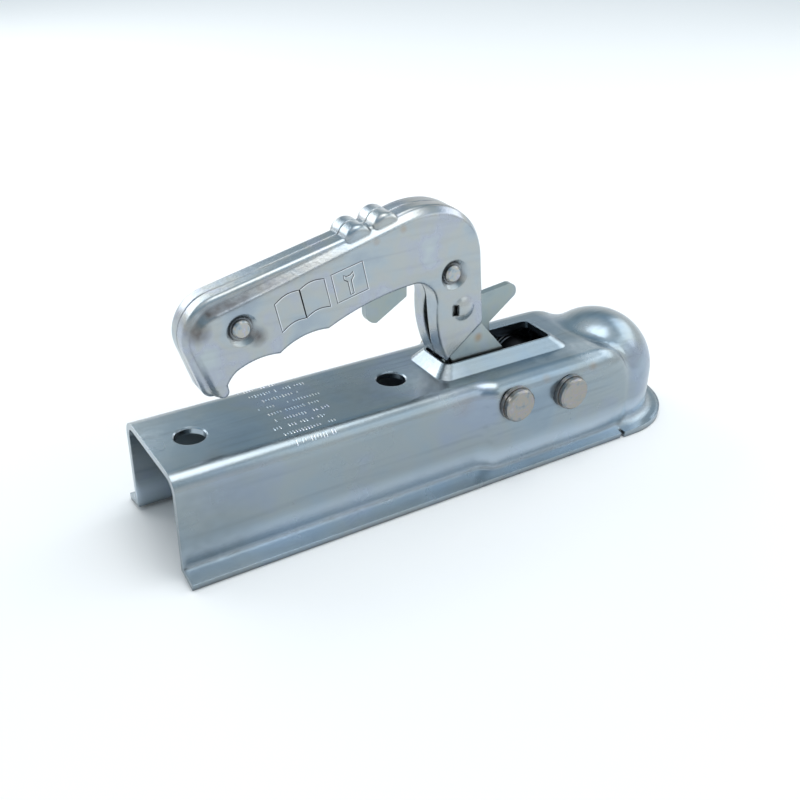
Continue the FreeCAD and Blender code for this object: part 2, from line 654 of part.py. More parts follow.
def lip_block():
    """Both flared lips, as one block across the channel that the inner block opens later."""
    tip_y = outer_half + lip_out
    tip_low_y = tip_y - lip_t * sine(lip_slope)
    tip_top_z = base_z + lip_t * cosine(lip_slope)
    fall = sine(lip_slope) / cosine(lip_slope)
    crease_z = tip_top_z + lip_out * fall
    under_z = base_z + (tip_low_y - inner_half) * fall
    section = add("Sketcher::SketchObject", "lip_section")
    place(section, -rear_reach, 0, 0, END_VIEW)
    draw(section, (-outer_half, crease_z), [
        line(-tip_y, tip_top_z),
        line(-tip_low_y, base_z),
        line(-inner_half, under_z),
        line(inner_half, under_z),
        line(tip_low_y, base_z),
        line(tip_y, tip_top_z),
        line(outer_half, crease_z),
        line(-outer_half, crease_z),
    ])
    return extruded("lips", section, V(1, 0, 0), rear_reach - notch_x + notch_w)


def lip_notches():
    """The relief notches in the outer edges, where each lip meets the flange."""
    pieces = []
    for side, sign in SIDES.items():
        low = (-notch_x, rim_r - notch_depth if sign > 0 else -rim_r - sheet_t, base_z - sheet_t)
        high = (notch_w - notch_x, rim_r + sheet_t if sign > 0 else notch_depth - rim_r, 0)
        pieces.append(box(f"notch_{side}", low, high))
    return pieces


def flange_block():
    """The flat front flange round the ball's mouth."""
    body = add("PartDesign::Body", "front_flange")
    rear_x = notch_w - notch_x
    plan = draw(body_sketch(body, "XY_Plane", "flange_plan", base_z), (rear_x, rim_r), [
        line(rear_x, -rim_r),
        line(0, -rim_r),
        arc(rim_r, 0, rim_r, 1),
        arc(0, rim_r, rim_r, 1),
        line(rear_x, rim_r),
    ])
    pad(body, plan, sheet_t, "flange_plate")
    return body


def flange_root():
    """The hollow radius between the dome's skirt and the flat flange."""
    reach = dome_r + rim_fillet
    foot_z = base_z + sheet_t
    disc = cylinder("root_disc", reach, rim_fillet, 0, 0, foot_z)
    hollow = add("Part::Torus", "root_hollow")
    bind(hollow, Radius1=reach, Radius2=rim_fillet)
    place(hollow, 0, 0, foot_z + rim_fillet)
    return cut("flange_root", disc, hollow)


def pressed_body():
    past = sheet_t * 2
    foot_z = base_z + sheet_t
    low_z = base_z - past
    outer = head_form("outer", size(0), crease_r, roof_z, foot_z, -rear_reach)
    inner = head_form("inner", sheet_t, crease_r + sheet_t, roof_z - sheet_t, low_z, -rear_reach - past)
    collar = collar_form("collar", size(0), size(0))
    collar_inside = collar_form("collar_inside", sheet_t * collar_share, sheet_t)
    block = fuse("body_block", outer, flange_block(), flange_root(), lip_block(), collar)
    slot = add("PartDesign::Body", "slot")
    slot_plan = body_sketch(slot, "XY_Plane", "slot_plan", roof_z - past)
    round_rectangle(slot_plan, -slot_rear_x, -slot_front_x, slot_half, slot_corner)
    pad(slot, slot_plan, past + past, "slot_block")
    openings = [inner, collar_inside, slot, *lip_notches()]
    for name, at_x in (("rear", -bolt_x), ("front", bolt_pitch - bolt_x)):
        openings.append(cylinder(f"bolt_{name}", bolt_r, past + sheet_t, at_x, 0, roof_z - past))
        edge = (at_x, 0, roof_z - bolt_bevel)
        openings.append(cone(f"bolt_bevel_{name}", bolt_r, bolt_r + bolt_bevel, bolt_bevel, *edge))
    for name, at_x, at_z in (("lever", -lever_pin_x, lever_pin_z), ("jaw", -jaw_pin_x, jaw_pin_z)):
        reach = front_half + sheet_t
        hole = cylinder(f"{name}_hole", pin_r + pin_fit, reach * 2, at_x, -reach, at_z, ALONG_Y)
        openings.append(hole)
    return cut("coupling_body", block, *openings)


def around(centre_x, centre_y, radius, degrees):
    """A point on a circle."""
    angle = size(degrees)
    return centre_x + radius * cosine(angle), centre_y + radius * sine(angle)


# Pieces on the cross pins
def headed_pin(name, shank_r, half_length, cap_r, cap_t, bevel, at_x, at_z):
    """A pin with a bevelled head at each end, turned about its own axis."""
    body = add("PartDesign::Body", name)
    end = half_length + cap_t
    profile = draw(body_sketch(body, "XY_Plane", name + "_profile"), (0, -end), [
        line(cap_r - bevel, -end),
        line(cap_r, bevel - end),
        line(cap_r, -half_length),
        line(shank_r, -half_length),
        line(shank_r, half_length),
        line(cap_r, half_length),
        line(cap_r, end - bevel),
        line(cap_r - bevel, end),
        line(0, end),
        line(0, -end),
    ])
    turned = body.newObject("PartDesign::Revolution", name + "_turned")
    turned.Profile = profile
    turned.ReferenceAxis = (profile, ["V_Axis"])
    turned.Angle = 360
    return place(body, at_x, 0, at_z)


def group(name, *pieces):
    item = add("Part::Compound", name)
    item.Links = list(pieces)
    return item


lever_at = (-lever_pin_x, lever_pin_z)
jaw_at = (-jaw_pin_x, jaw_pin_z)
wall_in = front_half - sheet_t
plate_out = panel_half - shell_t
plate_in = plate_out - plate_t
hole_r = pin_r + pin_fit
bush_r = hole_r + bush_t


def cross_pins():
    shank_half = front_half + washer_t
    for name, at in (("lever_pin", lever_at), ("jaw_pin", jaw_at)):
        headed_pin(name, pin_r, shank_half, head_r, head_t, head_bevel, *at)
    washers = []
    for name, at in (("lever", lever_at), ("jaw", jaw_at)):
        for side, sign in SIDES.items():
            seat = (at[0], front_half if sign > 0 else -shank_half, at[1], ALONG_Y)
            washers.append(ring(f"{name}_washer_{side}", washer_r, hole_r, washer_t, *seat))
    group("pin_washers", *washers)


def bushes():
    """Spacer tubes that keep lever and jaw in the middle of the body. The lever's end short of the bend."""
    spans = (
        ("lever_bush", lever_at, plate_out + side_gap, wall_in - (bend_r - sheet_t) * bush_short),
        ("jaw_bush", jaw_at, jaw_half + side_gap, wall_in - side_gap),
    )
    for name, at, near_y, far_y in spans:
        for side, sign in SIDES.items():
            low_y = near_y if sign > 0 else -far_y
            ring(f"{name}_{side}", bush_r, hole_r, far_y - near_y, at[0], low_y, at[1], ALONG_Y)


def jaw_spring():
    """The closing spring round the jaw's left bush: tilted half turns of wire and two straight legs."""
    mean_r = bush_r + coil_gap + wire_r
    rise = coil_pitch / 2
    bow = add("Part::Torus", "spring_bow")
    bow.Angle3 = 180
    bow.Placement = FreeCAD.Placement(V(0, 0, 0), FreeCAD.Rotation(V(0, 1, 0), 1))
    slant = arc_tangent(rise / 2, mean_r)
    bind(bow, Radius1=mean_r / cosine(slant), Radius2=wire_r, Placement__Rotation__Angle=slant)
    pieces = []
    for index in range(int(coil_turns.value) * 2):
        turn = FreeCAD.Rotation(V(0, 0, 1), 0 if index % 2 else 180)
        pieces.append(place(group(f"spring_half_turn_{index}", bow), 0, 0, rise * index + rise / 2, turn))
    to_roof = roof_z - sheet_t - side_gap * 2 - jaw_pin_z
    end_z = coil_pitch * coil_turns
    pieces.append(cylinder("spring_jaw_leg", wire_r, spring_leg, -mean_r, 0, 0, ALONG_Y))
    pieces.append(cylinder("spring_roof_leg", wire_r, to_roof, -mean_r, 0, end_z, AGAINST_Y))
    place(fuse("jaw_spring", *pieces), jaw_at[0], jaw_half + side_gap + wire_r, jaw_at[1], ALONG_Y)


# Lift handle
def corner(name, before, at, after, radius):
    """The straight run up to a rounded corner and the arc round it, tangent at both ends."""
    in_x, in_z = before[0] - at[0], before[1] - at[1]
    out_x, out_z = after[0] - at[0], after[1] - at[1]
    in_length = worked_out(name + "_in", root(in_x * in_x + in_z * in_z))
    out_length = worked_out(name + "_out", root(out_x * out_x + out_z * out_z))
    fold = worked_out(name + "_fold", (in_x * out_x + in_z * out_z) / (in_length * out_length))
    reach = worked_out(name + "_reach", radius * root((fold + 1) / (1 - fold)))
    return [
        line(at[0] + in_x * reach / in_length, at[1] + in_z * reach / in_length),
        arc(at[0] + out_x * reach / out_length, at[1] + out_z * reach / out_length, radius, -1),
    ]


def handle_outline(name, rear_in, crown_in, side_y):
    """The handle seen from the side. The insets pull in its rear and upper sides for the raised panels."""
    slant = (neck_z - heel_z) / (heel_x - neck_x)
    neck_in = crown_in * neck_share
    end_r = tip_r - rear_in * tip_share
    start = (-grip_x, grip_z)
    heel = (-heel_x, heel_z)
    corners = [
        (rear_in * tip_share - tip_front_x, tip_z, end_r),
        (rear_in - tip_rear_x, tip_z, end_r),
        (rear_in - back_x, back_z - rear_in, back_r - rear_in),
        (-crown_x, crown_z - crown_in, crown_r),
        (-brow_x - crown_in * brow_share, brow_z - crown_in, brow_r - crown_in),
        (-neck_x - neck_in, neck_z - neck_in * slant, neck_r),
    ]
    moves = []
    for index, (at_x, at_z, radius) in enumerate(corners):
        before = corners[index - 1] if index else start
        after = corners[index + 1] if index + 1 < len(corners) else heel
        moves += corner(f"{name}_{index}", before, (at_x, at_z), after, radius)
    moves += [
        line(*heel),
        arc(-nape_x, nape_z, nape_r, -1),
        arc(-arch_x, arch_z, arch_r, 1),
        arc(-cusp_x, cusp_z, palm_r, 1),
        arc(-cusp_x - cusp_step, cusp_z - cusp_fall, groove_r, 1),
        arc(-hook_x, hook_z, groove_r, 1),
        arc(*start, hook_r, 1),
    ]
    return side_sketch(name, start, moves, side_y)


def inset(name, profile, distance):
    item = add("Part::Offset2D", name)
    item.Source = profile
    bind(item, Value=-distance)
    return item


def at_depth(edge, depth):
    """True for an edge that lies wholly in the side plane at a depth."""
    return near(edge.BoundBox.YMin, -size(depth)) and near(edge.BoundBox.YMax, -size(depth))


TO_RIGHT = V(0, -1, 0)
RIVETS = {"grip": (-grip_rivet_x, grip_rivet_z), "neck": (-neck_rivet_x, neck_rivet_z)}
floor_y = panel_half - dimple_depth
spine_fall = (crown_z - back_z) / (back_x - crown_x)


def ridges(name, radius, half):
    """The ridges across the spine, as plain rollers."""
    pieces = []
    for index in range(int(ridge_count.value)):
        at_x = ridge_step * index - ridge_x
        at_z = crown_z + (at_x + crown_x) * spine_fall + ridge_rise - ridge_r
        pieces.append(cylinder(f"{name}_{index}", radius, half, at_x, -half, at_z, ALONG_Y))
    return pieces


def bump(name, trim):
    """A ball whose cap stands out of the side panel."""
    full_r = (bump_r * bump_r + bump_rise * bump_rise) / (bump_rise * 2)
    ball = add("Part::Sphere", name)
    bind(ball, Radius=full_r - trim)
    return place(ball, -bump_x, full_r - panel_half - bump_rise, bump_z)


def shell_half():
    """The right half: a pressed tray with a raised side panel, dimples, ridges, and openings."""
    outline = handle_outline("half_outline", size(0), size(0), size(0))
    foot = handle_outline("panel_foot", border, crown_border, -spine_half)
    top = handle_outline("panel_top", border + border_run, crown_border + crown_run, -panel_half)
    spine = extruded("spine", outline, TO_RIGHT, spine_half)
    spine = rounded("spine_rounded", spine, spine_round, lambda e: at_depth(e, spine_half))
    spine = rounded("spine_seam", spine, seam_round, lambda e: at_depth(e, 0))
    panel = add("Part::Loft", "panel")
    panel.Sections = [foot, top]
    panel.Solid = True
    panel.Ruled = True
    core = extruded("panel_core", foot, V(0, 1, 0), spine_half - shell_t)
    panel = fuse("panel_sharp", panel, core)
    panel_block = rounded("panel_block", panel, panel_round, lambda e: at_depth(e, panel_half))
    end = spine_half + ridge_out
    ridge_tops = []
    for ridge in ridges("ridge", ridge_r, end):
        ridge = rounded(ridge.Name + "_end", ridge, ridge_round, lambda e: at_depth(e, end))
        ridge_tops.append(rounded(ridge.Name + "_seam", ridge, seam_round, lambda e: at_depth(e, 0)))
    block = fuse("half_block", spine, panel_block, bump("bump", 0), *ridge_tops)
    depth = panel_half - shell_t
    hollow_top = handle_outline("hollow_top", border + border_run, crown_border + crown_run, size(0))
    tray = extruded("tray", inset("tray_outline", outline, shell_t), TO_RIGHT, spine_half - shell_t)
    deep = extruded("deep", inset("deep_outline", hollow_top, shell_t / 2), TO_RIGHT, depth)
    wall = shell_t / 2
    boss_t = dimple_depth + shell_t
    bosses = []
    dimples = []
    for name, (at_x, at_z) in RIVETS.items():
        seat = (at_x, -panel_half, at_z, ALONG_Y)
        bosses.append(cone(f"{name}_boss", dimple_r + wall, dimple_floor_r + wall, boss_t, *seat))
        dimples.append(cone(f"{name}_dimple", dimple_r, dimple_floor_r, dimple_depth, *seat))
        dimples.append(cylinder(f"{name}_rivet_hole", rivet_r + pin_fit, panel_half, *seat))
    ridge_hollows = ridges("ridge_hollow", ridge_r - shell_t, end - shell_t)
    hollow_block = fuse("hollow_block", tray, deep, bump("bump_hollow", shell_t), *ridge_hollows)
    hollow = cut("hollow", hollow_block, *bosses)
    room = blade_gap + trigger_t + slot_room
    trigger_slot = box("trigger_slot", (-fin_rear_x - slot_rear_room, -room, fin_tip_z),
                       (slot_front_room - fin_front_x, 0, arch_z + shell_t))
    past = shell_t * 3
    indicator_slot = box("indicator_slot", (-neck_x - past, -room, neck_z - past),
                         (past - neck_x, 0, indicator_slot_z))
    mouth = box("mouth", (shell_t - heel_x, -plate_out, heel_z - plate_t), (-neck_x - shell_t, 0, neck_z))
    window = box("bump_window", (-bump_x - bump_r, -panel_half - bump_rise, bump_z - bump_window),
                 (bump_window - bump_x - bump_r, -depth, bump_z + bump_window))
    openings = [hollow, neck_slit(), trigger_slot, indicator_slot, mouth, window]
    other_half = box("other_half", (-rear_reach, 0, 0), (0, panel_half * 2, crown_z * 2))
    return cut("handle_half_right", block, other_half, *openings, *dimples)


def neck_slit():
    """The lens-shaped gap between the halves at the back of the neck."""
    half_long = (neck_gap_high - neck_gap_low) / 2
    bow_r = (half_long * half_long + neck_gap * neck_gap) / (neck_gap * 2)
    sketch = add("Sketcher::SketchObject", "neck_slit_outline")
    place(sketch, -nape_x - shell_t * 3, 0, 0, END_VIEW)
    draw(sketch, (0, neck_gap_low), [
        arc(0, neck_gap_high, bow_r, -1),
        line(0, neck_gap_low),
    ])
    return extruded("neck_slit", sketch, V(1, 0, 0), heel_x - neck_x)


def handle_shells():
    right = shell_half()
    left = add("Part::Mirroring", "handle_half_left")
    left.Source = right
    left.Normal = V(0, 1, 0)
    return right, left


def rivets():
    for name, at in RIVETS.items():
        headed_pin(f"{name}_rivet", rivet_r, floor_y, rivet_head_r, rivet_head_t, rivet_head_t / 2, *at)
        reach = floor_y - shell_t
        ring(f"{name}_spacer", spacer_r, rivet_r + pin_fit, reach * 2, at[0], -reach, at[1], ALONG_Y)


thrust_at = (lever_at[0] + thrust_dx, lever_at[1] - thrust_dz)


def lever_plates():
    """Two flat plates that carry the handle on the rear pin and press the jaw home with the thrust pin."""
    lobe_r = thrust_r + thrust_rim
    neck_at = RIVETS["neck"]
    moves = [
        line(-plate_brow_x, plate_brow_z),
        line(-plate_step_x, plate_step_z),
        line(*around(*neck_at, plate_head_r, plate_head_front)),
        arc(*around(*neck_at, plate_head_r, plate_head_top), plate_head_r, 1),
        arc(*around(*neck_at, plate_head_r, plate_head_rear), plate_head_r, 1),
        line(-nape_x + shell_t + side_gap, nape_z),
        line(-plate_nape_x, plate_nape_z),
        line(-plate_heel_x, plate_heel_z),
        line(*around(*lever_at, plate_hub_r, plate_hub_rear)),
        arc(*around(*lever_at, plate_hub_r, plate_hub_low), plate_hub_r, 1),
        line(*around(*thrust_at, lobe_r, plate_lobe_low)),
        arc(*around(*thrust_at, lobe_r, plate_lobe_front), lobe_r, 1),
        line(-plate_edge_x, plate_edge_z),
    ]
    holes = [(*lever_at, hole_r), (*thrust_at, thrust_r + pin_fit), (*neck_at, plate_hole_r)]
    for side, top_y in (("left", plate_out), ("right", -plate_in)):
        side_plate(f"lever_plate_{side}", (-plate_edge_x, plate_edge_z), moves, top_y, plate_t, holes)
    cylinder("thrust_pin", thrust_r, plate_out * 2, thrust_at[0], -plate_out, thrust_at[1], ALONG_Y)


# Ball jaw
def ball_jaw():
    """The jaw that closes behind and under the ball: a wide hollow-faced block with a narrow heel."""
    wide = side_plate("jaw_block", (jaw_at[0], jaw_at[1] + jaw_hub_r), [
        arc(jaw_at[0] - jaw_hub_r, jaw_at[1], jaw_hub_r, 1),
        line(-jaw_back_x, -jaw_back_drop),
        arc(-jaw_tip_x - jaw_lip, -jaw_tip_z - jaw_lip, jaw_belly_r, 1),
        line(-jaw_tip_x, -jaw_tip_z),
        line(-jaw_seat_x, jaw_seat_top),
        line(-jaw_brow_x, jaw_brow_z),
        line(jaw_at[0], jaw_at[1] + jaw_hub_r),
    ], jaw_half, jaw_half * 2)
    heel_low = (thrust_at[0] + thrust_r + touch_gap, -jaw_heel_half, thrust_at[1] - thrust_r)
    heel = box("jaw_heel", heel_low, (jaw_at[0], jaw_heel_half, jaw_at[1]))
    ball = add("Part::Sphere", "ball_space")
    bind(ball, Radius=ball_r + jaw_seat_gap)
    bore = cylinder("jaw_bore", hole_r, jaw_half * 2, jaw_at[0], -jaw_half, jaw_at[1], ALONG_Y)
    return cut("ball_jaw", fuse("jaw_solid", wide, heel), ball, bore)


# Trigger and indicator
nose_at = (lever_at[0] - nose_reach * cosine(nose_angle), lever_at[1] + nose_reach * sine(nose_angle))


def trigger():
    """The finger trigger: a bell crank on the neck spacer, with a fin below the grip and a catch nose."""
    hub = RIVETS["neck"]
    plate = side_plate("trigger_plate", (nose_at[0] + nose_pin_r, nose_at[1]), [
        line(*around(*hub, trigger_hub_r, trigger_neck_angle)),
        arc(*around(*hub, trigger_hub_r, trigger_arm_angle), trigger_hub_r, 1),
        line(fin_round - fin_rear_x, arm_top_z),
        arc(-fin_rear_x, arm_top_z - fin_round, fin_round, 1),
        line(-fin_rear_x, fin_tip_z + fin_tip_r),
        arc(fin_tip_r - fin_rear_x, fin_tip_z, fin_tip_r, 1),
        line(-fin_front_x, fin_side_z),
        line(-fin_front_x, arm_top_z - arm_w),
        line(*around(*hub, trigger_hub_r, trigger_rear_angle)),
        arc(*around(*hub, trigger_hub_r, trigger_foot_angle), trigger_hub_r, 1),
        line(nose_at[0] - nose_pin_r, nose_at[1]),
        arc(nose_at[0], nose_at[1] - nose_pin_r, nose_pin_r, 1),
        arc(nose_at[0] + nose_pin_r, nose_at[1], nose_pin_r, 1),
    ], -blade_gap, trigger_t, [(*hub, spacer_r + trigger_fit)])
    reach = blade_gap + trigger_t
    nose = cylinder("trigger_nose", nose_pin_r, reach * 2, nose_at[0], -reach, nose_at[1], ALONG_Y)
    return fuse("trigger", plate, nose)


def indicator():
    """The indicator: a blade on the rear pin whose tab shows in front of the neck."""
    hub_r = indicator_hub_r
    front = around(*lever_at, hub_r, indicator_front_angle)
    side_plate("indicator", front, [
        line(-tab_root_x, tab_root_z),
        line(-tab_low_x, tab_low_z),
        arc(-tab_high_x, tab_high_z, tab_r, 1),
        line(-tab_rear_x, tab_rear_z),
        line(*around(*lever_at, hub_r, indicator_top_angle)),
        arc(*around(*lever_at, hub_r, tooth_front_angle), hub_r, 1),
        line(*around(*lever_at, tooth_r, tooth_front_angle)),
        arc(*around(*lever_at, tooth_r, tooth_rear_angle), tooth_r, 1),
        line(*around(*lever_at, hub_r, tooth_rear_angle)),
        arc(lever_at[0], lever_at[1] - hub_r, hub_r, 1),
        arc(*front, hub_r, 1),
    ], blade_gap + indicator_t, indicator_t, [(*lever_at, hole_r)])
    reach = plate_in - side_gap
    blade_y = blade_gap + indicator_t + side_gap
    spans = (("right", -reach, blade_gap - side_gap), ("left", blade_y, reach))
    spacers = [
        ring(f"spacer_{side}", bush_r, hole_r, high_y - low_y, lever_at[0], low_y, lever_at[1], ALONG_Y)
        for side, low_y, high_y in spans
    ]
    group("indicator_spacers", *spacers)


# Build and write
NODES = [
    "coupling_body", "lever_pin", "jaw_pin", "pin_washers",
    "lever_bush_left", "lever_bush_right", "jaw_bush_left", "jaw_bush_right",
    "jaw_spring",
    "handle_half_left", "handle_half_right", "grip_rivet", "neck_rivet", "grip_spacer", "neck_spacer",
    "lever_plate_left", "lever_plate_right", "thrust_pin",
    "ball_jaw", "trigger", "indicator", "indicator_spacers",
]


def main():
    pressed_body()
    cross_pins()
    bushes()
    jaw_spring()
    handle_shells()
    rivets()
    lever_plates()
    ball_jaw()
    trigger()
    indicator()
    doc.recompute()
    failed = [item.Name for item in doc.Objects if {"Invalid", "Error"} & set(item.State)]
    for name in NODES:
        shape = doc.getObject(name).Shape
        if shape.isNull() or not shape.isValid() or not shape.Solids:
            failed.append(name + " shape")
    if failed:
        raise SystemExit(f"failed: {failed}")
    os.makedirs("parts", exist_ok=True)
    for name in NODES:
        item = doc.getObject(name)
        item.Label = name
        item.Shape.exportStep(f"parts/{name}.step")
        print(f"{name}: {len(item.Shape.Solids)} solid, {item.Shape.Volume:.0f} mm3")


main()
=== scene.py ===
import json
import math
import random

import bpy
from mathutils import Matrix, Vector


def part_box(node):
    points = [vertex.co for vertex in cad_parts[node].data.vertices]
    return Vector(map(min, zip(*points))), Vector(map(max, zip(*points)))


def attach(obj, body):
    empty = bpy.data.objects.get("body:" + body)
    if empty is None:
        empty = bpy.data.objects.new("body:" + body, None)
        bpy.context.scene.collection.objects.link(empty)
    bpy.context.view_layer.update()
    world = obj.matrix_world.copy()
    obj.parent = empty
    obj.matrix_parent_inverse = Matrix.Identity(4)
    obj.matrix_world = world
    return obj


# Trailer coupling head: pressed steel with zinc plating, the handle closed. Lengths are in metres.

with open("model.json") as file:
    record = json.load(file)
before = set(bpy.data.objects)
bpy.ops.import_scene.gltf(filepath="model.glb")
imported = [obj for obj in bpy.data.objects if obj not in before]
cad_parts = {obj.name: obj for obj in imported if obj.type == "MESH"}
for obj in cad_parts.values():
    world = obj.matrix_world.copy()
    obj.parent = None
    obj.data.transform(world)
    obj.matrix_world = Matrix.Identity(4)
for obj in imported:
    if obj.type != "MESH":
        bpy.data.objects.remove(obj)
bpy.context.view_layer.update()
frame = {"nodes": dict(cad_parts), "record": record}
nodes = frame["nodes"]

FLOOR_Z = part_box("coupling_body")[0].z

# Sockets of the colour mix node, which have no names of their own
MIX_FACTOR, MIX_A, MIX_B, MIX_RESULT = 0, 6, 7, 2


# Materials
def fill_ramp(color_ramp, stops):
    """Give a colour ramp its stops, each a position and a colour."""
    while len(color_ramp.elements) < len(stops):
        color_ramp.elements.new(0.5)
    for element, (position, color) in zip(color_ramp.elements, stops):
        element.position = position
        element.color = (*color, 1.0)


class Shader:
    """A node material with a principled shader, and short ways to add to it."""

    def __init__(self, name):
        self.material = bpy.data.materials.new(name)
        self.material.use_nodes = True
        self.tree = self.material.node_tree
        self.surface = self.tree.nodes["Principled BSDF"]

    def feed(self, socket, value):
        """Link a node's output to the socket, or set the socket to a plain value."""
        if hasattr(value, "is_output"):
            self.tree.links.new(value, socket)
        else:
            socket.default_value = value

    def finish(self, values):
        """Feed the sockets of the principled shader, by their names."""
        for key, value in values.items():
            self.feed(self.surface.inputs[key], value)

    def add(self, kind, inputs, **settings):
        node = self.tree.nodes.new(kind)
        for key, value in settings.items():
            setattr(node, key, value)
        for key, value in inputs.items():
            self.feed(node.inputs[key], value)
        return node

    def place(self):
        return self.add("ShaderNodeTexCoord", {}).outputs["Object"]

    def noise(self, scale, detail=4.0, stretch=(1, 1, 1)):
        vector = self.add("ShaderNodeMapping", {"Vector": self.place(), "Scale": stretch}).outputs["Vector"]
        node = self.add("ShaderNodeTexNoise", {"Vector": vector, "Scale": scale, "Detail": detail})
        return node.outputs["Fac"]

    def ramp(self, amount, stops):
        node = self.add("ShaderNodeValToRGB", {"Fac": amount})
        fill_ramp(node.color_ramp, stops)
        return node.outputs["Color"]

    def blend(self, amount, a, b):
        """Colour a turning into colour b as the amount goes from 0 to 1."""
        node = self.add("ShaderNodeMix", {MIX_FACTOR: amount}, data_type="RGBA")
        for index, color in ((MIX_A, a), (MIX_B, b)):
            self.feed(node.inputs[index], color if hasattr(color, "is_output") else (*color, 1.0))
        return node.outputs[MIX_RESULT]

    def remap(self, value, old, new, **settings):
        """Turn one range into another. Each is a pair of ends, and values past them stay at the ends."""
        ends = {"From Min": old[0], "From Max": old[1], "To Min": new[0], "To Max": new[1]}
        return self.add("ShaderNodeMapRange", {"Value": value, **ends}, **settings).outputs["Result"]

    def scaled(self, amount, low, high):
        return self.remap(amount, (0.0, 1.0), (low, high))

    def calc(self, operation, *values):
        return self.add("ShaderNodeMath", dict(enumerate(values)), operation=operation).outputs["Value"]

    def bump(self, height, strength, distance, normal):
        inputs = {"Height": height, "Strength": strength, "Distance": distance, "Normal": normal}
        return self.add("ShaderNodeBump", inputs).outputs["Normal"]

    def crease(self, narrow, wide):
        """A radius that is wide along the foot of the side walls and narrow elsewhere."""
        split = self.add("ShaderNodeSeparateXYZ", {"Vector": self.place()})
        side = self.calc("ABSOLUTE", split.outputs["Y"])
        near_wall = self.remap(side, CREASE_SIDE, (1.0, 0.0))
        low = self.remap(split.outputs["Z"], CREASE_TOP, (1.0, 0.0))
        return self.scaled(self.calc("MULTIPLY", near_wall, low), narrow, wide)

    def spot(self, centre, radius, softness):
        """1 inside a ball about a point, falling to 0 over a soft edge."""
        away = self.add("ShaderNodeVectorMath", {0: self.place(), 1: centre}, operation="DISTANCE")
        return self.remap(away.outputs["Value"], (radius, radius + softness), (1.0, 0.0))

    def stripe(self, height, reach):
        """1 at the given height above the origin, falling to 0 at reach above and below it."""
        up = self.add("ShaderNodeSeparateXYZ", {"Vector": self.place()}).outputs["Z"]
        away = self.calc("ABSOLUTE", self.calc("SUBTRACT", up, height))
        return self.remap(away, (0.0, reach), (1.0, 0.0), interpolation_type="SMOOTHSTEP")


# Tints of the plating's clouds: where each lies in the noise, and its share of the plating's colour
CLOUDS = (
    (0.30, (0.86, 0.90, 0.96)),
    (0.42, (0.96, 0.99, 1.02)),
    (0.52, (1.02, 1.00, 0.97)),
    (0.62, (0.98, 0.98, 1.05)),
    (0.74, (1.06, 1.08, 1.08)),
)
CLOUD_DETAIL = 5.0

# Scale, detail and stretch of the drawing streaks along the sheet, and how dark they get
STREAK_NOISE, STREAK_SHADE = (1.0, 3.0, (14, 420, 420)), 0.45

# Painted shade in the corners, and noise patches that vary it and the marks
PATCH_SCALE, PATCH_LOW, PATCH_HIGH = 260.0, 0.3, 1.5
CORNER_REACH, CORNER_OPEN, CORNER_TIGHT = 0.0028, 0.88, 0.45
CORNER_SAMPLES, EDGE_SAMPLES = 6, 4

# Where the crease between side walls and lips lies: distance from the middle plane, and height
CREASE_SIDE, CREASE_TOP = (0.0325, 0.0345), (-0.010, -0.006)

# Scale and detail of the noise in the sheen, and in the broad waves and the grain of the sheet
ROUGHNESS_NOISE = (60.0, 5.0)
WAVE_NOISE, WAVE_STRENGTH, WAVE_HEIGHT = (38.0, 2.0), 0.25, 0.0006
FINE_GRAIN, COARSE_GRAIN, GRAIN_HEIGHT = (900.0, 5.0), (120.0, 3.0), 0.0002


def plating_color(shader, tint, cloud, contrast, streaks, corner_shade, marks, stripe):
    """Cloudy tints, streaks, a painted reflection stripe, marks at points and painted shade in corners."""
    shades = [
        (position, tuple(c * (1 + (share - 1) * contrast) for c, share in zip(tint, shares)))
        for position, shares in CLOUDS
    ]
    color = shader.ramp(shader.noise(cloud, CLOUD_DETAIL), shades)
    if streaks:
        fine = shader.scaled(shader.noise(*STREAK_NOISE), -streaks, streaks)
        color = shader.blend(fine, color, tuple(c * STREAK_SHADE for c in tint))
    # The stripe is painted reflection: a band of colour about a height
    if stripe:
        height, reach, stripe_color, strength = stripe
        amount = shader.calc("MULTIPLY", shader.stripe(height, reach), strength)
        color = shader.blend(amount, color, stripe_color)
    patches = shader.scaled(shader.noise(PATCH_SCALE), PATCH_LOW, PATCH_HIGH)
    for centre, radius, softness, mark_color, strength in marks:
        amount = shader.calc("MULTIPLY", shader.spot(centre, radius, softness), strength)
        color = shader.blend(shader.calc("MULTIPLY", amount, patches), color, mark_color)
    # Painted shade: the colour darkens towards near-black where the surface is closed in, in corners and
    # creases
    corners = shader.add("ShaderNodeAmbientOcclusion", {"Distance": CORNER_REACH}, samples=CORNER_SAMPLES)
    painted_corner_shade = shader.remap(corners.outputs["AO"], (CORNER_OPEN, CORNER_TIGHT), (0.0, corner_shade))
    return shader.blend(shader.calc("MULTIPLY", painted_corner_shade, patches), color, SHADE_AND_GREASE)


def plating_normal(shader, grain, soft, hollow):
    """Softened edges, with waves and grain over them."""
    radius = shader.crease(soft, hollow) if hollow else soft
    rounded = shader.add("ShaderNodeBevel", {"Radius": radius}, samples=EDGE_SAMPLES).outputs["Normal"]
    wavy = shader.bump(shader.noise(*WAVE_NOISE), WAVE_STRENGTH, WAVE_HEIGHT, rounded)
    grains = shader.calc("ADD", shader.noise(*FINE_GRAIN), shader.noise(*COARSE_GRAIN))
    return shader.bump(grains, grain, GRAIN_HEIGHT, wavy)


def zinc(
    name, tint, rough_low, rough_high, cloud=22.0, contrast=1.0, grain=0.08, streaks=0.0, corner_shade=0.6,
    soft=0.0005, hollow=None, marks=(), stripe=None,
):
    """Zinc plating. soft is the radius that edges are softened to, and hollow that of the lips' crease."""
    shader = Shader(name)
    shader.finish({
        "Base Color": plating_color(shader, tint, cloud, contrast, streaks, corner_shade, marks, stripe),
        "Metallic": 1.0,
        "Roughness": shader.scaled(shader.noise(*ROUGHNESS_NOISE), rough_low, rough_high),
        "Normal": plating_normal(shader, grain, soft, hollow),
    })
    return shader.material
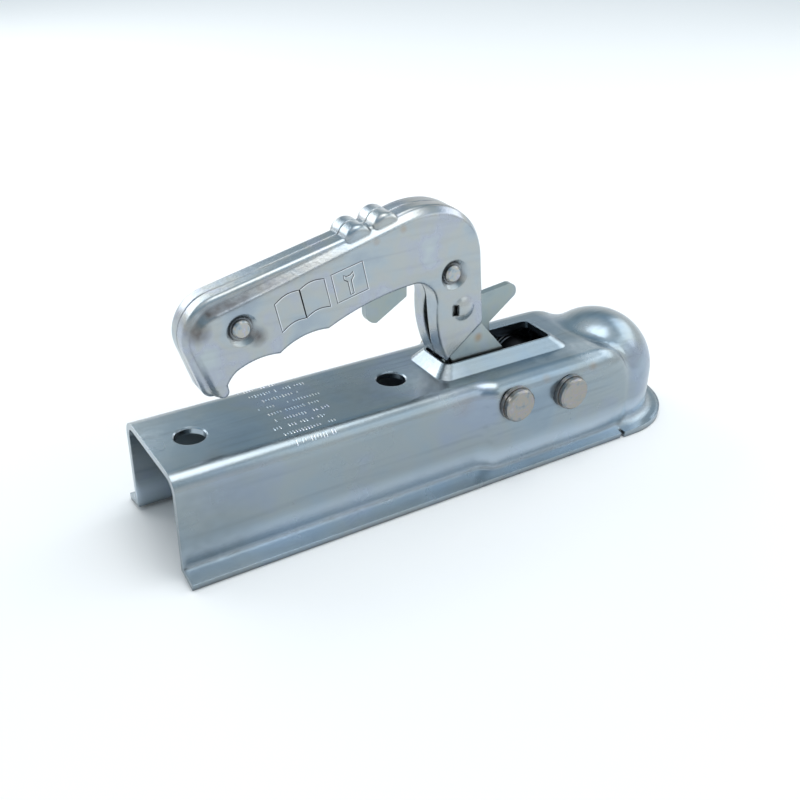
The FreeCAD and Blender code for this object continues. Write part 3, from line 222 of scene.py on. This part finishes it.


# Colours of the plating on each kind of piece
# Body and handle have the same zinc: painted shade darkens the body's colour, painted light brightens the
# handle's
BODY, HANDLE, PLATES = (0.295, 0.352, 0.392), (0.395, 0.430, 0.448), (0.38, 0.43, 0.435)
PINS, RIVETS, TAB = (0.335, 0.325, 0.305), (0.42, 0.43, 0.42), (0.32, 0.37, 0.37)

# Colours of marks: wear and a painted dark reflection, rusty stains, and painted shade and grease
SMUDGE_AND_DARK_REFLECTION, STAIN, SHADE_AND_GREASE = (0.30, 0.28, 0.26), (0.36, 0.27, 0.18), (0.10, 0.09, 0.09)
# Colours of painted light: highlights and lighter reflections, darker reflections, and a bluish reflection
PAINTED_HIGHLIGHT, PAINTED_DARK_REFLECTION, BLUISH = (0.64, 0.69, 0.72), (0.22, 0.26, 0.28), (0.56, 0.66, 0.77)

# Side planes of the handle's panel, of its rim's foot and of the lever plate
SIDE_Y, RIM_FOOT_Y, PLATE_Y = -0.0085, -0.0082, -0.0084

# Each mark has a place, the radius of its core, the width of its soft edge, a colour and a strength
BODY_MARKS = (
    ((-0.0560, -0.0315, 0.0215), 0.0008, 0.0026, SMUDGE_AND_DARK_REFLECTION, 0.8),
    ((-0.0285, -0.0312, 0.0200), 0.0008, 0.0022, SMUDGE_AND_DARK_REFLECTION, 0.7),
    ((-0.1000, -0.0280, 0.0180), 0.0020, 0.0060, SMUDGE_AND_DARK_REFLECTION, 0.3),
    # Painted reflections on the roof: lighter patches, and a darker one under the handle
    ((-0.2350, 0.0000, 0.0240), 0.0100, 0.0300, PAINTED_HIGHLIGHT, 0.40),
    ((-0.1080, -0.0100, 0.0240), 0.0040, 0.0160, PAINTED_HIGHLIGHT, 0.50),
    ((-0.1400, -0.0020, 0.0240), 0.0060, 0.0250, PAINTED_DARK_REFLECTION, 0.60),
    # Painted highlights along the near shoulder's bend
    ((-0.0260, -0.0200, 0.0280), 0.0050, 0.0080, PAINTED_HIGHLIGHT, 0.80),
    ((-0.0520, -0.0190, 0.0270), 0.0010, 0.0040, PAINTED_HIGHLIGHT, 0.50),
    ((-0.0400, -0.0190, 0.0270), 0.0010, 0.0040, PAINTED_HIGHLIGHT, 0.50),
    # Painted dark reflection on the rear of the near side wall
    ((-0.2300, -0.0280, 0.0020), 0.0080, 0.0350, PAINTED_DARK_REFLECTION, 0.60),
)
PLATE_MARKS = (((-0.0800, PLATE_Y, 0.0380), 0.0008, 0.0022, STAIN, 0.8),)
PANEL_MARKS = (
    ((-0.1880, SIDE_Y, 0.0655), 0.0012, 0.0040, SHADE_AND_GREASE, 0.9),
    ((-0.0925, SIDE_Y, 0.0700), 0.0010, 0.0030, SHADE_AND_GREASE, 0.7),
    # Painted highlights on the spine's top
    ((-0.1365, 0.0, 0.1045), 0.0050, 0.0030, PAINTED_HIGHLIGHT, 0.7),
    ((-0.1240, 0.0, 0.1075), 0.0050, 0.0030, PAINTED_HIGHLIGHT, 0.7),
    # Painted dark reflection on the crown's top
    ((-0.1020, 0.0, 0.1100), 0.0060, 0.0090, SMUDGE_AND_DARK_REFLECTION, 0.5),
    ((-0.1345, RIM_FOOT_Y, 0.0945), 0.0006, 0.0022, STAIN, 0.9),
    ((-0.1218, RIM_FOOT_Y, 0.0975), 0.0006, 0.0022, STAIN, 0.9),
    ((-0.2120, SIDE_Y, 0.0730), 0.0014, 0.0050, SHADE_AND_GREASE, 0.8),
)

# A row of marks of painted shade along the panel's upper slope, strongest at the grip's end
BAND_X, BAND_Z, BAND_STEP, BAND_SLOPE = -0.2070, 0.0790, 0.0034, 0.24
BAND_SPOTS, BAND_R, BAND_SOFT, BAND_STRENGTH, BAND_FADE = 18, 0.0008, 0.0030, 0.85, 0.91

# Height, reach, colour and strength of the painted bluish reflection along the foot of the side walls
PAINTED_WALL_REFLECTION = (-0.0135, 0.0090, BLUISH, 0.60)


def painted_shade_band():
    marks = []
    for step in range(BAND_SPOTS):
        along = step * BAND_STEP
        centre = (BAND_X + along, SIDE_Y, BAND_Z + along * BAND_SLOPE)
        marks.append((centre, BAND_R, BAND_SOFT, SHADE_AND_GREASE, BAND_STRENGTH * BAND_FADE ** step))
    return tuple(marks)


# One finish for each material slot of the record
FINISHES = {
    "zinc_body": zinc(
        "zinc_body", BODY, 0.20, 0.32, contrast=1.5, grain=0.12, streaks=0.5, hollow=0.0032,
        marks=BODY_MARKS, stripe=PAINTED_WALL_REFLECTION,
    ),
    "zinc_handle": zinc(
        "zinc_handle", HANDLE, 0.20, 0.32, 60.0, contrast=1.5, grain=0.2, streaks=0.3, corner_shade=1.0,
        soft=0.0011, marks=PANEL_MARKS + painted_shade_band(),
    ),
    "zinc_pins": zinc("zinc_pins", PINS, 0.26, 0.42, 330.0, contrast=2.6, grain=0.7, corner_shade=0.9, soft=0.0003),
    "zinc_rivets": zinc(
        "zinc_rivets", RIVETS, 0.26, 0.42, 400.0, contrast=3.0, grain=0.7, corner_shade=0.9, soft=0.0003
    ),
    "zinc_tubes": zinc("zinc_tubes", (0.42, 0.44, 0.47), 0.3, 0.45),
    "zinc_plates": zinc("zinc_plates", PLATES, 0.28, 0.42, 80.0, marks=PLATE_MARKS),
    "jaw_steel": zinc("jaw_steel", (0.06, 0.06, 0.065), 0.4, 0.6),
    "zinc_trigger": zinc("zinc_trigger", TAB, 0.26, 0.4, 80.0, soft=0.0003),
    "zinc_indicator": zinc("zinc_indicator", TAB, 0.26, 0.38, 80.0, soft=0.0003),
    "spring_steel": zinc("spring_steel", (0.3, 0.31, 0.33), 0.3, 0.4),
}
for entry in frame["record"]["subparts"]:
    slots = nodes[entry["node"]].data.materials
    for index in range(len(slots)):
        slots[index] = FINISHES[entry["material_slot"]]


def add_mesh(name, verts, faces, material):
    """A new object in the scene, with a mesh of its own."""
    mesh = bpy.data.meshes.new(name)
    mesh.from_pydata(verts, [], faces)
    mesh.materials.append(material)
    item = bpy.data.objects.new(name, mesh)
    bpy.context.scene.collection.objects.link(item)
    return item


# Pressed outlines on the handle's side: an open book and a spanner in a frame
GRIP_SLOPE = math.radians(12.7)
BOOK_X, BOOK_Z = -0.16815, 0.07495
RIM_STEP = 0.0018
PANEL_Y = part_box("handle_half_right")[0].y + RIM_STEP
PAGE_W, PAGE_HALF, PAGE_STEPS = 0.0113, 0.0064, 10
PAGE_SWELL, PAGE_DROP = 0.0013, 0.0013
FRAME_U, FRAME_HALF_W, FRAME_HALF_H = 0.0218, 0.0073, 0.0065

# Spanner: half widths of its shaft, head and mouth, and heights from its foot to its mouth's bottom
SHAFT_HALF, HEAD_HALF, MOUTH_HALF = 0.0008, 0.0022, 0.00084
SHAFT_FOOT, SHAFT_TOP, HEAD_SIDE, HEAD_TIP, MOUTH_BOTTOM = -0.0054, 0.0006, 0.0020, 0.0040, 0.0030

# Each outline is a band of painted shade, the groove's shadow, over a band of painted highlight.
# The highlight band shows below and to the right of it, as the groove's lit edge.
GROOVE_W, GROOVE_LIFT = 0.00042, 0.00005
HIGHLIGHT_LIFT, HIGHLIGHT_SHIFT = 0.00003, GROOVE_W * 0.6


def on_panel(u, v, lift):
    """A point of the handle's side panel, from its place along and across the grip."""
    return Vector((
        BOOK_X + u * math.cos(GRIP_SLOPE) - v * math.sin(GRIP_SLOPE),
        PANEL_Y - lift,
        BOOK_Z + u * math.sin(GRIP_SLOPE) + v * math.cos(GRIP_SLOPE),
    ))


def groove(name, path, material, lift, shift=0.0):
    """A thin closed band that follows a path on the panel."""
    points = [Vector(point) for point in path]
    verts, faces = [], []
    for index, here in enumerate(points):
        following = (index + 1) % len(points)
        ahead = (points[following] - here).normalized() + (here - points[index - 1]).normalized()
        across = Vector((-ahead.y, ahead.x)).normalized() * GROOVE_W / 2
        middle = here + Vector((shift, -shift))
        for point in (middle - across, middle + across):
            verts.append(on_panel(point.x, point.y, lift))
        a, b = index * 2, following * 2
        faces.append((a, b, b + 1, a + 1))
    item = add_mesh(name, verts, faces, material)
    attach(item, "handle")


def page(side):
    """The book's left (-1) or right (1) page, with swelling upper and lower edges."""
    edge = [index / PAGE_STEPS for index in range(PAGE_STEPS + 1)]
    drop = PAGE_DROP if side < 0 else 0.0

    def bow(t):
        return PAGE_SWELL * math.sin(math.pi * t) - drop * t

    upper = [(side * PAGE_W * t, PAGE_HALF + bow(t)) for t in edge]
    lower = [(side * PAGE_W * t, -PAGE_HALF + bow(t)) for t in reversed(edge)]
    return upper + lower


def picture_frame():
    w, h = FRAME_HALF_W, FRAME_HALF_H
    return [(FRAME_U - w, -h), (FRAME_U + w, -h), (FRAME_U + w, h), (FRAME_U - w, h)]


def spanner():
    right = [
        (SHAFT_HALF, SHAFT_FOOT),
        (SHAFT_HALF, SHAFT_TOP),
        (HEAD_HALF, HEAD_SIDE),
        (HEAD_HALF, HEAD_TIP),
        (MOUTH_HALF, MOUTH_BOTTOM),
    ]
    left = [(-u, v) for u, v in reversed(right)]
    return [(FRAME_U + u, v) for u, v in right + left]


GROOVE_SHADE = zinc("groove_shade", (0.10, 0.11, 0.12), 0.5, 0.7)
GROOVE_HIGHLIGHT = zinc("groove_highlight", (0.80, 0.82, 0.85), 0.2, 0.3)
OUTLINES = {
    "page_left": page(-1),
    "page_right": page(1),
    "picture_frame": picture_frame(),
    "spanner": spanner(),
}
# Each outline gets a band of painted highlight, the object ending in _edge, under a band of painted shade
for outline_name, outline in OUTLINES.items():
    groove(outline_name + "_edge", outline, GROOVE_HIGHLIGHT, HIGHLIGHT_LIFT, HIGHLIGHT_SHIFT)
    groove(outline_name, outline, GROOVE_SHADE, GROOVE_LIFT)


# Rows of plain upright strokes stamped into the roof
ROOF_Z, ROOF_FLAT, BEND_R = 0.024, 0.020, 0.008
ROW_COUNT, ROW_PITCH, FIRST_ROW_Y = 9, 0.0058, 0.0220
ROW_START_X, ROW_SHIFT, ROW_JUMP = -0.1835, 0.0003, 0.0035
ROW_SHORT, ROW_LONG, ROW_SEED = 0.018, 0.032, 4
STROKE_LONG, STROKE_SHORTEST, STROKE_W, STROKE_STEP = 0.0028, 0.4, 0.00062, 0.00135
STROKE_RISE, STROKE_SINK, STROKE_TOP = 0.00018, 0.0001, 0.6
BLANK_SHARE = 0.22
STAMP = (0.72, 0.77, 0.80)


def roof_height(y):
    """The roof's surface, with the fall of its side bends."""
    over = max(abs(y) - ROOF_FLAT, 0.0)
    return ROOF_Z - BEND_R + math.sqrt(BEND_R ** 2 - over ** 2)


def stroke(verts, faces, x, y, long):
    """A small raised bar with sloping sides, laid on the roof."""
    first = len(verts)
    for share, rise in ((1.0, -STROKE_SINK), (STROKE_TOP, STROKE_RISE)):
        for side_x, side_y in ((-1, -1), (1, -1), (1, 1), (-1, 1)):
            end_y = y + side_y * share * long / 2
            verts.append((x + side_x * share * STROKE_W / 2, end_y, roof_height(end_y) + rise))
    faces.append((first + 4, first + 5, first + 6, first + 7))
    faces.append((first + 3, first + 2, first + 1, first))
    for a in range(4):
        b = (a + 1) % 4
        faces.append((first + a, first + b, first + 4 + b, first + 4 + a))


def stamped_rows():
    dice = random.Random(ROW_SEED)
    verts, faces = [], []
    for row in range(ROW_COUNT):
        row_x = ROW_START_X + row * ROW_SHIFT + dice.uniform(-ROW_JUMP, ROW_JUMP)
        row_y = FIRST_ROW_Y - row * ROW_PITCH
        for index in range(int(dice.uniform(ROW_SHORT, ROW_LONG) / STROKE_STEP)):
            if dice.random() > BLANK_SHARE:
                long = STROKE_LONG * dice.uniform(STROKE_SHORTEST, 1.0)
                stroke(verts, faces, row_x + index * STROKE_STEP, row_y, long)
    edges = zinc("stamp_edges", STAMP, 0.25, 0.4, 400.0, contrast=3.0, corner_shade=0.9, soft=0.0001)
    item = add_mesh("stamped_rows", verts, faces, edges)
    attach(item, "housing")


stamped_rows()


# Camera at the photograph's angle
CAMERA_PLACE = (-0.3298, -0.3382, 0.2398)
HEADING, PITCH, ROLL = math.radians(57.7), math.radians(29.7), math.radians(0.9)
SENSOR_MM, LENS_MM, NEAREST = 36.0, 45.54, 0.01


def camera():
    level = math.cos(PITCH)
    forward = Vector((level * math.cos(HEADING), level * math.sin(HEADING), -math.sin(PITCH)))
    right = forward.cross(Vector((0, 0, 1))).normalized()
    up = right.cross(forward)
    turned_right = math.cos(ROLL) * right + math.sin(ROLL) * up
    turned_up = -math.sin(ROLL) * right + math.cos(ROLL) * up
    data = bpy.data.cameras.new("camera")
    data.sensor_width = SENSOR_MM
    data.lens = LENS_MM
    data.clip_start = NEAREST
    item = bpy.data.objects.new("camera", data)
    basis = Matrix((turned_right, turned_up, -forward)).transposed().to_4x4()
    item.matrix_world = Matrix.Translation(CAMERA_PLACE) @ basis
    bpy.context.scene.collection.objects.link(item)
    bpy.context.scene.camera = item


# Studio: a pale floor, a room that is bright low down and overhead, and soft lights
FLOOR_HALF, FLOOR_GAP = 4.0, 0.0002
FLOOR_COLOR, FLOOR_ROUGHNESS, FLOOR_SHINE = (0.93, 0.93, 0.93, 1.0), 0.9, 0.1
MIDDLE = Vector((-0.10, 0.0, 0.03))
ROOM_BANDS = (
    (0.0, (1.02, 1.03, 1.03)),
    (0.36, (0.85, 0.89, 0.90)),
    (0.46, (0.46, 0.54, 0.58)),
    (0.58, (0.34, 0.46, 0.54)),
    (0.74, (0.42, 0.58, 0.70)),
    (0.86, (0.85, 0.90, 0.92)),
    (1.0, (1.0, 1.0, 1.0)),
)


def floor():
    shader = Shader("floor")
    shader.finish({
        "Base Color": FLOOR_COLOR,
        "Roughness": FLOOR_ROUGHNESS,
        "Specular IOR Level": FLOOR_SHINE,
    })
    corners = [(x * FLOOR_HALF, y * FLOOR_HALF, 0) for x, y in ((-1, -1), (1, -1), (1, 1), (-1, 1))]
    item = add_mesh("floor", corners, [(0, 1, 2, 3)], shader.material)
    item.location.z = FLOOR_Z - FLOOR_GAP


def room():
    """The light of a pale room, which depends on how high a ray looks."""
    world = bpy.data.worlds.new("room")
    bpy.context.scene.world = world
    world.use_nodes = True
    tree = world.node_tree
    direction = tree.nodes.new("ShaderNodeTexCoord")
    split = tree.nodes.new("ShaderNodeSeparateXYZ")
    bands = tree.nodes.new("ShaderNodeValToRGB")
    fill_ramp(bands.color_ramp, ROOM_BANDS)
    tree.links.new(direction.outputs["Generated"], split.inputs["Vector"])
    tree.links.new(split.outputs["Z"], bands.inputs["Fac"])
    tree.links.new(bands.outputs["Color"], tree.nodes["Background"].inputs["Color"])


def light(name, place, width, height, power):
    """A soft rectangular light that faces the middle of the object."""
    data = bpy.data.lights.new(name, "AREA")
    data.shape = "RECTANGLE"
    data.size, data.size_y = width, height
    data.energy = power
    item = bpy.data.objects.new(name, data)
    item.location = place
    item.rotation_mode = "QUATERNION"
    item.rotation_quaternion = (MIDDLE - Vector(place)).to_track_quat("-Z", "Y")
    bpy.context.scene.collection.objects.link(item)


bpy.context.scene.view_settings.view_transform = "Standard"
camera()
floor()
room()
light("back_left", (-0.55, 1.0, 0.56), 1.2, 0.45, 4.2)
light("right_side", (1.05, -0.05, 0.72), 1.0, 0.6, 3.4)
light("front_right", (0.42, -0.67, 0.64), 0.7, 0.5, 1.1)
light("overhead", (0.05, -0.1, 1.4), 0.8, 0.8, 5.0)
